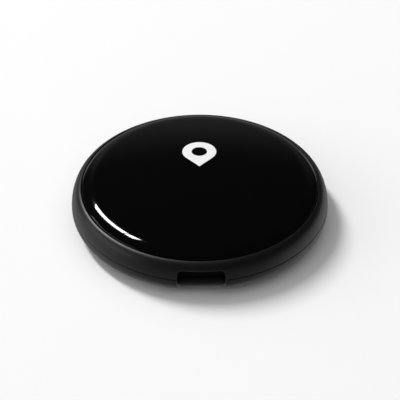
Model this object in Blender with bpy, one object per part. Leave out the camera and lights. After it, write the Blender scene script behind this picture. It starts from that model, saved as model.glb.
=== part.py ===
"""Round tracker tag with a press-down cap, a strap bar and a quarter-turn battery door.

The tag lies on its base: +Z is up through the cap, the strap notch faces -Y, and the origin is the
middle of the base. Sizes below are in millimetres and every mesh is written in metres.
"""

from math import asin, cos, pi, radians, sin, sqrt

import bmesh
import bpy

MM = 0.001

# Case
RADIUS = 19.0  # at the widest line
THICKNESS = 7.8  # base to the top of the cap
WIDEST_Z = 2.6
PARTING_Z = 3.2  # where the bezel ring meets the lower housing
PARTING_GAP = 0.1
SHOULDER_RADIUS = 17.4  # where the bezel's rounded shoulder turns level
SHOULDER_POWER = 2.1
FOOT_RADIUS = 14.2  # outside of the flat ring the tag rests on
BELLY_POWER = 2.2
FLOOR = 1.1  # thickness of the lower housing's floor
LAP_INNER = 17.0  # ship lap between bezel ring and lower housing
LAP_OUTER = 17.55
LAP_DEPTH = 0.7
LAP_GAP = 0.1

# Cap, the tag's push button
CAP_RADIUS = 17.4
CAP_SEAM_Z = 5.8
CAP_GAP = 0.15
CAP_WALL = 0.8
DOME_RADIUS = 114.0  # the cap is part of a sphere out to EDGE_START
EDGE_START = 15.3
EDGE_RADIUS = 4.0  # and rounded more tightly from there to its seam
SKIRT_Z = 4.95
SKIRT_WALL = 0.9
PRESS_TRAVEL = 0.25
CLIP_ANGLES = (90, 210, 330)
CLIP_LOW = 3.15
CLIP_HALF_ANGLE = 5.2
PAD_ANGLES = (30, 150, 270)
PAD_HALF_ANGLE = 4.0
PAD_HEIGHT = 0.75

# Ledge inside the bezel ring that carries the cap, the pads and the circuit board
LEDGE_LOW = 3.85
LEDGE_TOP = 4.45
SHELF_TOP = 4.75
SHELF_INNER = 15.3
SHELF_OUTER = 16.25

# Strap notch and bar
NOTCH_HALF = 3.4
NOTCH_TOP = 4.8
NOTCH_CORNER = 0.8
NOTCH_BACK_Y = -15.2
NOTCH_LIP_Y = -17.8
NOTCH_CEILING = 4.15
NOTCH_WALL_HALF = 4.8
BAR_Y = -17.45
BAR_Z = 2.15
BAR_RADIUS = 0.62
BAR_HALF = 4.1
BAR_CLEAR = 0.08

# Coin cell, 20 mm across and 3.2 mm thick
CELL_RADIUS = 10.0
CELL_HEIGHT = 3.2
CELL_Z = 1.2
CELL_CLEAR = 0.25
CHAMBER_WALL = 0.8
CHAMBER_TOP = 4.55

# Battery door: a three-start coarse thread, a quarter turn brings it down by DOOR_DROP
DOOR_RADIUS = 11.3
DOOR_LOW = 0.15
DOOR_TOP = 1.15
DOOR_CLEAR = 0.15
DOOR_DROP = 1.5
DOOR_TURN = pi / 2
DOOR_SEAT_Z = 1.65
LUG_ANGLES = (90, 210, 330)
LUG_HALF_ANGLE = 14
LUG_RADIUS = 12.25
LUG_MID_Z = 0.65
LUG_HALF_HEIGHT = 0.2
LUG_CLEAR = 0.08
THREAD_RUN = 74  # degrees of groove ahead of each lug's middle
THREAD_WALL_RADIUS = 13.0
THREAD_WALL_TOP = 2.2
COIN_SLOT_HALF = (6.5, 0.7)
COIN_SLOT_DEPTH = 0.5

# Circuit board
BOARD_Z = 4.8
BOARD_THICK = 0.5
BOARD_RADIUS = 16.1
PART_Z = BOARD_Z + BOARD_THICK + 0.05  # underside of what stands on the board
SCREW_ANGLES = (60, 180, 300)
SCREW_CIRCLE = 13.6
SCREW_SHANK = 0.6
SCREW_HEAD = 1.1
SCREW_LOW = 3.0
BOSS_RADIUS = 1.2
BOSS_LOW = 2.6

# Sounder under the cap, and the switch it presses
DISC_RADIUS = 7.0
DISC_Z = 6.82
CERAMIC_RADIUS = 4.8
CERAMIC_Z = 6.66
PUSHER_Z = 6.36
PLUNGER_TOP = 6.3

# Printed mark: a plain map pin, its tip towards the notch
MARK_Y = 4.9
MARK_HEAD_RADIUS = 2.55
MARK_HOLE_RADIUS = 1.15
MARK_LENGTH = 6.4
MARK_LIFT = 0.015
MARK_THICK = 0.035

CASE_SEGMENTS = 60
SMALL_SEGMENTS = 32
TINY_SEGMENTS = 16

# Finishes: colour, roughness, metallic
GLOSS_BLACK = ((0.006, 0.006, 0.007), 0.08, 0.0)
SATIN_BLACK = ((0.018, 0.018, 0.020), 0.38, 0.0)
WHITE_INK = ((0.88, 0.88, 0.88), 0.5, 0.0)
SILICONE = ((0.05, 0.05, 0.055), 0.6, 0.0)
STEEL = ((0.62, 0.62, 0.63), 0.28, 1.0)
GOLD_PLATE = ((0.80, 0.60, 0.28), 0.25, 1.0)
BRASS = ((0.75, 0.56, 0.26), 0.3, 1.0)
CERAMIC_WHITE = ((0.80, 0.78, 0.72), 0.4, 0.0)
BOARD_GREEN = ((0.02, 0.12, 0.06), 0.4, 0.0)
CHIP_BLACK = ((0.02, 0.02, 0.02), 0.5, 0.0)
CELL_DARK = ((0.08, 0.08, 0.08), 0.7, 0.0)
NYLON = ((0.55, 0.55, 0.50), 0.5, 0.0)
LAMP_CLEAR = ((0.85, 0.85, 0.80), 0.3, 0.0)


# ---- shared helpers -------------------------------------------------------------------------


def clear_scene():
    for thing in list(bpy.data.objects):
        bpy.data.objects.remove(thing, do_unlink=True)


def finish_material(name, finish):
    colour, roughness, metallic = finish
    material = bpy.data.materials.new(name)
    material.use_nodes = True
    shader = material.node_tree.nodes["Principled BSDF"]
    shader.inputs["Base Color"].default_value = (*colour, 1.0)
    shader.inputs["Roughness"].default_value = roughness
    shader.inputs["Metallic"].default_value = metallic
    material.diffuse_color = (*colour, 1.0)
    return material


def body(name, parent=None):
    """An empty on the tag's axis that the pieces of one rigid body hang from."""
    empty = bpy.data.objects.new(name, None)
    bpy.context.scene.collection.objects.link(empty)
    empty.parent = parent
    return empty


def solid(name, points, faces, finish=None, parent=None):
    """A mesh object from points in millimetres, faces turned outward. No finish makes a cutter."""
    mesh = bpy.data.meshes.new(name)
    mesh.from_pydata([(x * MM, y * MM, z * MM) for x, y, z in points], [], faces)
    work = bmesh.new()
    work.from_mesh(mesh)
    bmesh.ops.recalc_face_normals(work, faces=work.faces)
    work.to_mesh(mesh)
    work.free()
    piece = bpy.data.objects.new(name, mesh)
    bpy.context.scene.collection.objects.link(piece)
    piece.parent = parent
    if finish is None:
        piece.hide_render = True
        piece.display_type = "WIRE"
    else:
        mesh.materials.append(finish_material(name, finish))
        mesh.shade_smooth()
        mesh.set_sharp_from_angle(angle=radians(30))
    return piece


def on_circle(radius, degrees, z=0.0):
    return (radius * cos(radians(degrees)), radius * sin(radians(degrees)), z)


def lathe(name, outline, finish=None, parent=None, segments=CASE_SEGMENTS):
    """Turns a closed (radius, z) outline about the Z axis."""
    points, rings = [], []
    for radius, z in outline:
        if radius < 1e-6:
            rings.append([len(points)] * segments)
            points.append((0.0, 0.0, z))
        else:
            rings.append(list(range(len(points), len(points) + segments)))
            points += [on_circle(radius, 360 * i / segments, z) for i in range(segments)]
    faces = []
    for lower, upper in zip(rings, rings[1:] + rings[:1]):
        for i in range(segments):
            j = (i + 1) % segments
            corners = list(dict.fromkeys((lower[i], lower[j], upper[j], upper[i])))
            if len(corners) > 2:
                faces.append(corners)
    return solid(name, points, faces, finish, parent)


def loft(name, sections, finish=None, parent=None):
    """A solid through equal rings of points, closed by its first and last ring."""
    count = len(sections[0])
    points = [point for section in sections for point in section]
    faces = [list(range(count)), list(range(len(points) - count, len(points)))]
    for k in range(len(sections) - 1):
        for i in range(count):
            j = (i + 1) % count
            low, high = k * count, (k + 1) * count
            faces.append([low + i, low + j, high + j, high + i])
    return solid(name, points, faces, finish, parent)


def sector(name, inner, outer, low, high, middle, half, climb=0.0, steps=5, **more):
    """A block bent round the Z axis, from middle - half to middle + half degrees.

    With a climb, in millimetres a radian, its ends rise like a thread about its middle.
    """
    return thread_run(name, inner, outer, low, high, middle, (-half, half), climb, steps, **more)


def thread_run(name, inner, outer, low, high, middle, span, climb, steps, **more):
    sections = []
    for i in range(steps + 1):
        turn = span[0] + (span[1] - span[0]) * i / steps
        rise = climb * radians(turn)
        edges = ((inner, low), (outer, low), (outer, high), (inner, high))
        sections.append([on_circle(r, middle + turn, z + rise) for r, z in edges])
    return loft(name, sections, **more)


def block(name, low, high, finish=None, parent=None, chamfer=0.0):
    x0, y0, z0 = low
    x1, y1, z1 = high
    ends = [[(x0, y0, z), (x1, y0, z), (x1, y1, z), (x0, y1, z)] for z in (z0, z1)]
    piece = loft(name, ends, finish, parent)
    if chamfer:
        edge = piece.modifiers.new("chamfer", "BEVEL")
        edge.width = chamfer * MM
        edge.segments = 1
    return piece


def prism(name, outline, half_width, finish=None, parent=None):
    """A flat (y, z) outline given thickness along X."""
    ends = [[(x, y, z) for y, z in outline] for x in (-half_width, half_width)]
    return loft(name, ends, finish, parent)


def rod(name, radius, half_length, y, z, finish=None, parent=None):
    """A round bar along X."""
    angles = [2 * pi * i / SMALL_SEGMENTS for i in range(SMALL_SEGMENTS)]
    outline = [(y + radius * cos(a), z + radius * sin(a)) for a in angles]
    return prism(name, outline, half_length, finish, parent)


def strip(name, path, thick, half_width, finish=None, parent=None):
    """Bent sheet metal: a (radius, z) path given thickness, and width along Y."""
    left, right = [], []
    for i, (u, v) in enumerate(path):
        before, after = path[max(i - 1, 0)], path[min(i + 1, len(path) - 1)]
        du, dv = after[0] - before[0], after[1] - before[1]
        length = sqrt(du * du + dv * dv)
        off_u, off_v = -dv / length * thick / 2, du / length * thick / 2
        left.append((u + off_u, v + off_v))
        right.append((u - off_u, v - off_v))
    outline = left + right[::-1]
    ends = [[(u, y, v) for u, v in outline] for y in (-half_width, half_width)]
    return loft(name, ends, finish, parent)


def combine(piece, tool, operation):
    """Adds a Boolean and keeps the tool as a hidden guide."""
    cut = piece.modifiers.new(operation.lower(), "BOOLEAN")
    cut.operation = operation
    cut.solver = "EXACT"
    cut.object = tool
    tool.hide_render = True
    tool.display_type = "WIRE"
    tool.parent = piece.parent


def cut(piece, tool):
    combine(piece, tool, "DIFFERENCE")


def join(piece, tool):
    combine(piece, tool, "UNION")


# ---- outlines of the case -------------------------------------------------------------------


def power_arc(inner, outer, level, height, power, steps, start=0.0, end=pi / 2):
    """Points of a superellipse quarter: (outer, level) at 0, (inner, level + height) at 90."""
    points = []
    for i in range(steps + 1):
        t = start + (end - start) * i / steps
        across = max(cos(t), 0.0) ** (2 / power)
        up = max(sin(t), 0.0) ** (2 / power)
        points.append((inner + (outer - inner) * across, level + height * up))
    return points


def shoulder_points():
    """Outside of the bezel ring, from just above the parting line to just short of the seam."""
    height = CAP_SEAM_Z - WIDEST_Z
    share = (PARTING_Z + PARTING_GAP / 2 - WIDEST_Z) / height
    start = asin(share ** (SHOULDER_POWER / 2))
    return power_arc(SHOULDER_RADIUS, RADIUS, WIDEST_Z, height, SHOULDER_POWER, 7, start, 1.47)


def belly_points():
    """Outside of the lower housing, from the widest line down to the foot."""
    return power_arc(FOOT_RADIUS, RADIUS, WIDEST_Z, -WIDEST_Z, BELLY_POWER, 6)


def dome_z(radius):
    """Height of the cap's outer surface: part of a sphere, then a rounded edge that meets it."""
    reach = min(radius, EDGE_START)
    height = THICKNESS - DOME_RADIUS + sqrt(DOME_RADIUS**2 - reach**2)
    if radius > EDGE_START:
        start = EDGE_START / DOME_RADIUS * EDGE_RADIUS
        across = radius - EDGE_START + start
        height += sqrt(EDGE_RADIUS**2 - across**2) - sqrt(EDGE_RADIUS**2 - start**2)
    return height


# ---- visible case ---------------------------------------------------------------------------


def make_bezel_ring(parent):
    bore = CAP_RADIUS + CAP_GAP
    lap_low = PARTING_Z - LAP_DEPTH
    face_z = PARTING_Z + PARTING_GAP / 2
    outline = shoulder_points() + [
        (bore, CAP_SEAM_Z - 0.05),
        (bore, LEDGE_TOP),
        (SHELF_OUTER, LEDGE_TOP),
        (SHELF_OUTER, SHELF_TOP),
        (SHELF_INNER, SHELF_TOP),
        (SHELF_INNER, LEDGE_LOW),
        (LAP_INNER, LEDGE_LOW),
        (LAP_INNER, lap_low),
        (LAP_OUTER, lap_low),
        (LAP_OUTER, face_z),
    ]
    ring = lathe("bezel_ring", outline, SATIN_BLACK, parent)
    for angle in SCREW_ANGLES:
        join(ring, screw_boss(angle))
        web_inner = SCREW_CIRCLE + SCREW_SHANK + 0.2
        join(ring, sector(f"boss_web_{angle}", web_inner, 16.0, 3.1, 4.6, angle, 3.2, steps=3))
    hood_low = (-NOTCH_WALL_HALF, -LAP_INNER - 0.3, face_z + 0.1)
    join(ring, block("notch_hood", hood_low, (NOTCH_WALL_HALF, NOTCH_BACK_Y + 0.8, LEDGE_TOP - 0.05)))
    cut(ring, notch_opening())
    pocket_half = NOTCH_HALF - 0.03
    pocket_high = (pocket_half, NOTCH_BACK_Y, NOTCH_CEILING)
    cut(ring, block("notch_pocket_upper", (-pocket_half, -RADIUS - 2, -0.5), pocket_high))
    lap_room = (LAP_INNER - 0.3, LAP_OUTER + 0.05, 1, face_z + 0.05, 270, 16.7)
    cut(ring, sector("notch_lap_room", *lap_room))
    for angle in CLIP_ANGLES:
        name = f"clip_slot_{angle}"
        half = CLIP_HALF_ANGLE + 1.3
        cut(ring, sector(name, SHELF_OUTER - 0.05, 17.05, 3.5, SHELF_TOP + 0.5, angle, half))
    return ring


def notch_opening():
    """The notch through the bezel's outside, with round upper corners."""
    high, side = NOTCH_TOP, NOTCH_HALF
    corner = [radians(90 * i / 4) for i in range(5)]
    bend = NOTCH_CORNER
    right = [(side - bend + bend * cos(a), high - bend + bend * sin(a)) for a in corner]
    outline = [(side, 0.0)] + right + [(-x, z) for x, z in right[::-1]] + [(-side, 0.0)]
    ends = [[(x, y, z) for x, z in outline] for y in (-RADIUS - 1, NOTCH_LIP_Y)]
    return loft("notch_opening", ends)


def screw_boss(angle):
    """A post with a blind screw hole, hung from the ledge by its web."""
    top, bore, hole_low = SHELF_TOP - 0.03, SCREW_SHANK + 0.1, SCREW_LOW - 0.1
    outline = [
        (0, BOSS_LOW),
        (BOSS_RADIUS, BOSS_LOW),
        (BOSS_RADIUS, top),
        (bore, top),
        (bore, hole_low),
        (0, hole_low),
    ]
    boss = lathe(f"boss_{angle}", outline, segments=TINY_SEGMENTS)
    stand_at(boss, angle)
    return boss


def stand_at(piece, angle):
    """Moves a turned piece to a screw's place, its corners half a step off the case's corners."""
    x, y, _ = on_circle(SCREW_CIRCLE, angle)
    piece.location = (x * MM, y * MM, 0)
    piece.rotation_euler = (0, 0, pi / TINY_SEGMENTS)


def screw_hole(angle, radius, low, high):
    hole = lathe(
        f"screw_hole_{angle}_{low}",
        [(0, low), (radius, low), (radius, high), (0, high)],
        segments=TINY_SEGMENTS,
    )
    stand_at(hole, angle)
    return hole


def make_lower_housing(parent):
    bore = DOOR_RADIUS + DOOR_CLEAR
    chamber = CELL_RADIUS + CELL_CLEAR
    lap = LAP_OUTER + LAP_GAP
    face_z = PARTING_Z - PARTING_GAP / 2
    inside = power_arc(FOOT_RADIUS + 1.0, lap, WIDEST_Z, FLOOR - WIDEST_Z, BELLY_POWER, 4)
    outline = (
        [(shoulder_points()[0][0], face_z)]
        + belly_points()
        + [
            (bore, 0),
            (bore, DOOR_SEAT_Z),
            (chamber, DOOR_SEAT_Z),
            (chamber, CHAMBER_TOP),
            (chamber + CHAMBER_WALL, CHAMBER_TOP),
            (chamber + CHAMBER_WALL, THREAD_WALL_TOP),
            (THREAD_WALL_RADIUS, THREAD_WALL_TOP),
            (THREAD_WALL_RADIUS, FLOOR),
        ]
        + inside[::-1]
        + [(lap, face_z)]
    )
    shell = lathe("lower_housing", outline, SATIN_BLACK, parent)
    wall_high = (NOTCH_WALL_HALF, NOTCH_BACK_Y + 0.7, face_z)
    join(shell, block("notch_walls", (-NOTCH_WALL_HALF, -17.3, FLOOR - 0.1), wall_high))
    cut(shell, block("notch_pocket_lower", (-NOTCH_HALF, -RADIUS - 1, -1), (NOTCH_HALF, NOTCH_BACK_Y, 5)))
    hole = BAR_RADIUS + BAR_CLEAR
    cut(shell, rod("bar_hole", hole, BAR_HALF + 0.1, BAR_Y, BAR_Z))
    cut(shell, block("contact_slot", (10.0, -1.3, 2.3), (11.3, 1.3, 5)))
    climb = DOOR_DROP / DOOR_TURN
    for angle in LUG_ANGLES:
        low = LUG_MID_Z - LUG_HALF_HEIGHT - LUG_CLEAR
        high = LUG_MID_Z + LUG_HALF_HEIGHT + LUG_CLEAR
        span = (-THREAD_RUN, LUG_HALF_ANGLE + 1.5)
        name = f"thread_groove_{angle}"
        cut(shell, thread_run(name, bore - 0.3, LUG_RADIUS + 0.1, low, high, angle, span, climb, 12))
    return shell


def make_strap_bar(parent):
    return rod("strap_bar", BAR_RADIUS, BAR_HALF, BAR_Y, BAR_Z, SATIN_BLACK, parent)


def make_cap(parent):
    inner = CAP_RADIUS - SKIRT_WALL
    dome = [(r, dome_z(r)) for r in (0, 5, 9, 12.5, EDGE_START, 15.9, 16.5, 17.0)]
    edge = [(CAP_RADIUS - 0.12, dome_z(CAP_RADIUS - 0.12)), (CAP_RADIUS, dome_z(CAP_RADIUS) - 0.1)]
    under = [(r, dome_z(r) - CAP_WALL) for r in (inner, 14.5, 11.5, DISC_RADIUS + 0.6)]
    seat_z = dome_z(0) - CAP_WALL
    outline = (
        dome
        + edge
        + [(CAP_RADIUS, SKIRT_Z), (inner, SKIRT_Z)]
        + under
        + [(DISC_RADIUS + 0.6, seat_z), (0, seat_z)]
    )
    cap = lathe("top_cap", outline, GLOSS_BLACK, parent)
    for angle in CLIP_ANGLES:
        leg = sector(f"clip_leg_{angle}", 16.45, 16.95, CLIP_LOW, 5.3, angle, CLIP_HALF_ANGLE, steps=3)
        barb_top = LEDGE_LOW - 0.1
        barb = (f"clip_barb_{angle}", 15.95, 16.6, CLIP_LOW + 0.02, barb_top, angle)
        join(leg, sector(*barb, CLIP_HALF_ANGLE - 0.1, steps=3))
        join(cap, leg)
    for angle in PAD_ANGLES:
        room = (f"pad_room_{angle}", 16.2, 17.8, 4.5, LEDGE_TOP + PAD_HEIGHT + 0.1, angle)
        cut(cap, sector(*room, PAD_HALF_ANGLE + 1.5, steps=3))
    return cap


def pin_outline(steps):
    """A map pin's outline round its head's middle: an arc, then two straight sides to the tip."""
    reach = MARK_LENGTH - MARK_HEAD_RADIUS
    tangent = asin(MARK_HEAD_RADIUS / reach)
    arc = []
    for i in range(steps + 1):
        a = tangent - (pi + 2 * tangent) * i / steps
        arc.append((MARK_HEAD_RADIUS * cos(a), -MARK_HEAD_RADIUS * sin(a)))
    return arc, (0.0, -reach)


def make_printed_mark(parent):
    """White ink on the dome: a ring of outline points and a ring of hole points, lofted twice."""
    arc, tip = pin_outline(22)
    start, end = arc[0], arc[-1]

    def between(a, b, count):
        return [
            (a[0] + (b[0] - a[0]) * i / count, a[1] + (b[1] - a[1]) * i / count)
            for i in range(1, count)
        ]

    outer = arc + between(end, tip, 3) + [tip] + between(tip, start, 3)
    middle_y = MARK_Y + MARK_LENGTH / 2 - MARK_HEAD_RADIUS
    rings = []
    for share in (0.0, 0.5, 1.0):
        ring = []
        for x, y in outer:
            reach = sqrt(x * x + y * y)
            hole = (x / reach * MARK_HOLE_RADIUS, y / reach * MARK_HOLE_RADIUS)
            px = x + (hole[0] - x) * share
            py = y + (hole[1] - y) * share
            ring.append((px, py + middle_y))
        rings.append(ring)

    def lifted(ring, lift):
        return [(x, y, dome_z(sqrt(x * x + y * y)) + lift) for x, y in ring]

    loops = [lifted(ring, MARK_LIFT + MARK_THICK) for ring in rings]
    loops += [lifted(ring, MARK_LIFT) for ring in rings[::-1]]
    count = len(outer)
    points = [point for loop in loops for point in loop]
    faces = []
    for k in range(len(loops)):
        low, high = k * count, (k + 1) % len(loops) * count
        for i in range(count):
            j = (i + 1) % count
            faces.append([low + i, low + j, high + j, high + i])
    return solid("printed_mark", points, faces, WHITE_INK, parent)


# ---- battery door and cell ------------------------------------------------------------------


def make_battery_door(parent):
    edge = 0.15
    outline = [
        (0, DOOR_LOW),
        (DOOR_RADIUS - edge, DOOR_LOW),
        (DOOR_RADIUS, DOOR_LOW + edge),
        (DOOR_RADIUS, DOOR_TOP),
        (0, DOOR_TOP),
    ]
    door = lathe("battery_door", outline, SATIN_BLACK, parent)
    climb = DOOR_DROP / DOOR_TURN
    for angle in LUG_ANGLES:
        low, high = LUG_MID_Z - LUG_HALF_HEIGHT, LUG_MID_Z + LUG_HALF_HEIGHT
        lug = (f"door_lug_{angle}", DOOR_RADIUS - 0.4, LUG_RADIUS, low, high, angle)
        join(door, sector(*lug, LUG_HALF_ANGLE, climb))
    cut(door, coin_slot())
    return door


def coin_slot():
    """A slot with round ends across the door's outer face."""
    length, half = COIN_SLOT_HALF
    turn = [radians(-90 + 180 * i / 6) for i in range(7)]
    right = [(length - half + half * cos(a), half * sin(a)) for a in turn]
    outline = right + [(-x, -y) for x, y in right]
    top = DOOR_LOW + COIN_SLOT_DEPTH
    return loft("coin_slot", [[(x, y, z) for x, y in outline] for z in (-1.0, top)])


def make_door_seal(parent):
    middle, radius, z = 10.8, 0.2, (DOOR_TOP + DOOR_SEAT_Z) / 2
    turns = [2 * pi * i / 6 for i in range(6)]
    outline = [(middle + radius * cos(a), z + radius * sin(a)) for a in turns]
    return lathe("door_seal", outline, SILICONE, parent, segments=36)


def make_cell(parent):
    low, high = CELL_Z, CELL_Z + CELL_HEIGHT
    crimp = high - 0.2
    can = [
        (0, low),
        (CELL_RADIUS - 0.15, low),
        (CELL_RADIUS, low + 0.15),
        (CELL_RADIUS, crimp - 0.15),
        (CELL_RADIUS - 0.15, crimp),
        (9.35, crimp),
        (9.35, crimp - 0.2),
        (9.7, crimp - 0.2),
        (9.7, low + 0.3),
        (0, low + 0.3),
    ]
    lathe("cell_can", can, STEEL, parent, segments=SMALL_SEGMENTS)
    core = [(0, low + 0.35), (9.6, low + 0.35), (9.6, low + 2), (8.5, low + 2), (8.5, high - 0.32), (0, high - 0.32)]
    lathe("cell_core", core, CELL_DARK, parent, segments=SMALL_SEGMENTS)
    gasket = [
        (8.95, low + 2.1),
        (9.6, low + 2.1),
        (9.6, crimp - 0.3),
        (9.25, crimp - 0.3),
        (9.25, crimp + 0.05),
        (8.95, crimp + 0.05),
    ]
    lathe("cell_gasket", gasket, NYLON, parent, segments=SMALL_SEGMENTS)
    cap = [
        (0, high - 0.25),
        (8.6, high - 0.25),
        (8.6, low + 2.1),
        (8.85, low + 2.1),
        (8.85, high - 0.15),
        (8.7, high),
        (0, high),
    ]
    lathe("cell_cap", cap, STEEL, parent, segments=SMALL_SEGMENTS)


def make_contacts(parent):
    hub = [(0, 4.6), (2.6, 4.6), (2.6, 4.75), (0, 4.75)]
    negative = lathe("negative_contact", hub, GOLD_PLATE, parent, segments=TINY_SEGMENTS)
    for angle in (0, 120, 240):
        path = [(2.0, 4.68), (3.2, 4.68), (6.2, 4.5), (6.9, 4.56)]
        finger = strip(f"contact_finger_{angle}", path, 0.12, 0.6)
        finger.rotation_euler = (0, 0, radians(angle))
        join(negative, finger)
    path = [(12.9, 4.68), (11.5, 4.68), (11.28, 4.5), (10.6, 3.6), (10.13, 3.0), (10.5, 2.48)]
    strip("positive_contact", path, 0.12, 0.9, GOLD_PLATE, parent)


# ---- circuit board and what it carries ------------------------------------------------------


def make_circuit_board(parent):
    top = BOARD_Z + BOARD_THICK
    outline = [(0, BOARD_Z), (BOARD_RADIUS, BOARD_Z), (BOARD_RADIUS, top), (0, top)]
    board = lathe("circuit_board", outline, BOARD_GREEN, parent)
    for angle in SCREW_ANGLES:
        cut(board, screw_hole(angle, SCREW_SHANK + 0.15, BOARD_Z - 1, top + 1))
    return board


def make_screw(number, angle, parent):
    neck = PART_Z
    outline = [
        (0, SCREW_LOW),
        (SCREW_SHANK - 0.2, SCREW_LOW),
        (SCREW_SHANK, SCREW_LOW + 0.2),
        (SCREW_SHANK, neck),
        (SCREW_HEAD, neck),
        (SCREW_HEAD, neck + 0.2),
        (SCREW_HEAD - 0.15, neck + 0.35),
        (0, neck + 0.35),
    ]
    screw = lathe(f"board_screw_{number}", outline, STEEL, parent, segments=TINY_SEGMENTS)
    stand_at(screw, angle)
    recess_low, recess_high = neck + 0.15, neck + 1
    for way, (half_x, half_y) in (("a", (0.65, 0.13)), ("b", (0.13, 0.65))):
        low = (-half_x, -half_y, recess_low + (0.01 if way == "b" else 0))
        blade = block(f"recess_{way}_{number}", low, (half_x, half_y, recess_high))
        stand_at(blade, angle)
        cut(screw, blade)


def make_chip(name, centre, size, finish, parent):
    """A surface-mount part standing on the board."""
    half_x, half_y = size[0] / 2, size[1] / 2
    low, high = (-half_x, -half_y, PART_Z), (half_x, half_y, PART_Z + size[2])
    chip = block(name, low, high, finish, parent, chamfer=0.06)
    chip.location = (centre[0] * MM, centre[1] * MM, 0)


def make_board_parts(parent):
    make_chip("radio_chip", (-8.5, 2.5), (5.0, 5.0, 0.65), CHIP_BLACK, parent)
    make_chip("crystal", (-8.2, -3.2), (3.2, 2.5, 0.7), STEEL, parent)
    make_chip("chip_antenna", (0, 12.0), (7.0, 2.0, 0.5), CERAMIC_WHITE, parent)
    make_chip("indicator_light", (9.5, -5.5), (1.6, 0.8, 0.6), LAMP_CLEAR, parent)
    make_chip("motion_sensor", (8.5, 5.0), (2.0, 2.0, 0.75), CHIP_BLACK, parent)
    make_chip("coil", (9.2, 1.0), (2.5, 2.0, 0.8), CHIP_BLACK, parent)
    for i in range(4):
        make_chip(f"capacitor_{i + 1}", (3 * i - 4.5, -6.0), (1.0, 0.5, 0.5), CERAMIC_WHITE, parent)


def make_switch(board_body, plunger_body):
    height = 0.7
    switch = block(
        "switch_body", (-1.8, -1.6, PART_Z), (1.8, 1.6, PART_Z + height), STEEL, board_body
    )
    well = [(0, PART_Z + 0.07), (0.95, PART_Z + 0.07), (0.95, 7), (0, 7)]
    cut(switch, lathe("plunger_well", well, segments=TINY_SEGMENTS))
    low = PART_Z + 0.1 + PRESS_TRAVEL
    plunger = [(0, low), (0.8, low), (0.8, PLUNGER_TOP - 0.08), (0.72, PLUNGER_TOP), (0, PLUNGER_TOP)]
    lathe("switch_plunger", plunger, CHIP_BLACK, plunger_body, segments=TINY_SEGMENTS)


def make_sounder(cap_body):
    disc = [(0, DISC_Z), (DISC_RADIUS, DISC_Z), (DISC_RADIUS, DISC_Z + 0.13), (0, DISC_Z + 0.13)]
    lathe("sounder_disc", disc, BRASS, cap_body, segments=SMALL_SEGMENTS)
    top = CERAMIC_Z + 0.12
    ceramic = [(0, CERAMIC_Z), (CERAMIC_RADIUS, CERAMIC_Z), (CERAMIC_RADIUS, top), (0, top)]
    lathe("sounder_ceramic", ceramic, CERAMIC_WHITE, cap_body, segments=SMALL_SEGMENTS)
    top = CERAMIC_Z - 0.04
    pusher = [(0, PUSHER_Z), (1.0, PUSHER_Z), (1.2, PUSHER_Z + 0.2), (1.2, top), (0, top)]
    lathe("pusher_pad", pusher, SILICONE, cap_body, segments=TINY_SEGMENTS)


def make_contact_spring(name, x, top, parent):
    """A small coil spring between the board and the sounder."""
    wire, radius, turns, per_turn = 0.09, 0.5, 3, 9
    low, high = PART_Z + wire, top - 0.05 - wire
    count = turns * per_turn
    curve = bpy.data.curves.new(name, "CURVE")
    curve.dimensions = "3D"
    curve.bevel_depth = wire * MM
    curve.bevel_resolution = 0
    curve.use_fill_caps = True
    line = curve.splines.new("POLY")
    line.points.add(count)
    for i, point in enumerate(line.points):
        a = 2 * pi * i / per_turn
        z = low + (high - low) * i / count
        point.co = (radius * cos(a) * MM, radius * sin(a) * MM, z * MM, 1)
    curve.materials.append(finish_material(name, GOLD_PLATE))
    spring = bpy.data.objects.new(name, curve)
    bpy.context.scene.collection.objects.link(spring)
    spring.location = (x * MM, 0, 0)
    spring.parent = parent


def make_return_pads(parent):
    for number, angle in enumerate(PAD_ANGLES, 1):
        low, high = LEDGE_TOP + 0.05, LEDGE_TOP + 0.05 + PAD_HEIGHT
        shape = (f"return_pad_{number}", 16.6, 17.3, low, high, angle, PAD_HALF_ANGLE)
        sector(*shape, finish=SILICONE, parent=parent)


def main():
    clear_scene()
    housing = body("housing_body")
    cap = body("cap_body", housing)
    plunger = body("plunger_body", housing)
    cell = body("cell_body", housing)
    door = body("door_body", cell)

    make_bezel_ring(housing)
    make_lower_housing(housing)
    make_strap_bar(housing)
    make_cap(cap)
    make_printed_mark(cap)

    make_battery_door(door)
    make_door_seal(cell)
    make_cell(cell)
    make_contacts(housing)

    make_circuit_board(housing)
    for number, angle in enumerate(SCREW_ANGLES, 1):
        make_screw(number, angle, housing)
    make_board_parts(housing)
    make_switch(housing, plunger)
    make_sounder(cap)
    make_contact_spring("sounder_spring_1", 6.1, DISC_Z, housing)
    make_contact_spring("sounder_spring_2", -3.4, CERAMIC_Z, housing)
    make_return_pads(housing)


main()
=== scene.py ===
"""Looks of a round tracker tag: fine meshes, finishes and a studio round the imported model.

The tag lies on its base: +Z is up through the cap and the strap notch faces -Y. Sizes are in
millimetres and every mesh is written in metres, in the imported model's own frame.
"""

from math import asin, cos, pi, radians, sin, sqrt, tan

import bmesh
import bpy
from mathutils import Matrix, Vector


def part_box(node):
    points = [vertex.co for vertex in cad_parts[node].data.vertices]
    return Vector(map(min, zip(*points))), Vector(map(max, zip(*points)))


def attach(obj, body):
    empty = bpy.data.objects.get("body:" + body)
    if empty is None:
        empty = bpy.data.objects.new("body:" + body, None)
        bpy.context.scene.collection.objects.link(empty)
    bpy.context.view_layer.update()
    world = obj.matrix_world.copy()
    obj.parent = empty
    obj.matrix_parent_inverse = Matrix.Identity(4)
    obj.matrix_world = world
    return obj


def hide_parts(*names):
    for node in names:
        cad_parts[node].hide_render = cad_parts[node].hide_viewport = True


MM = 0.001

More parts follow.
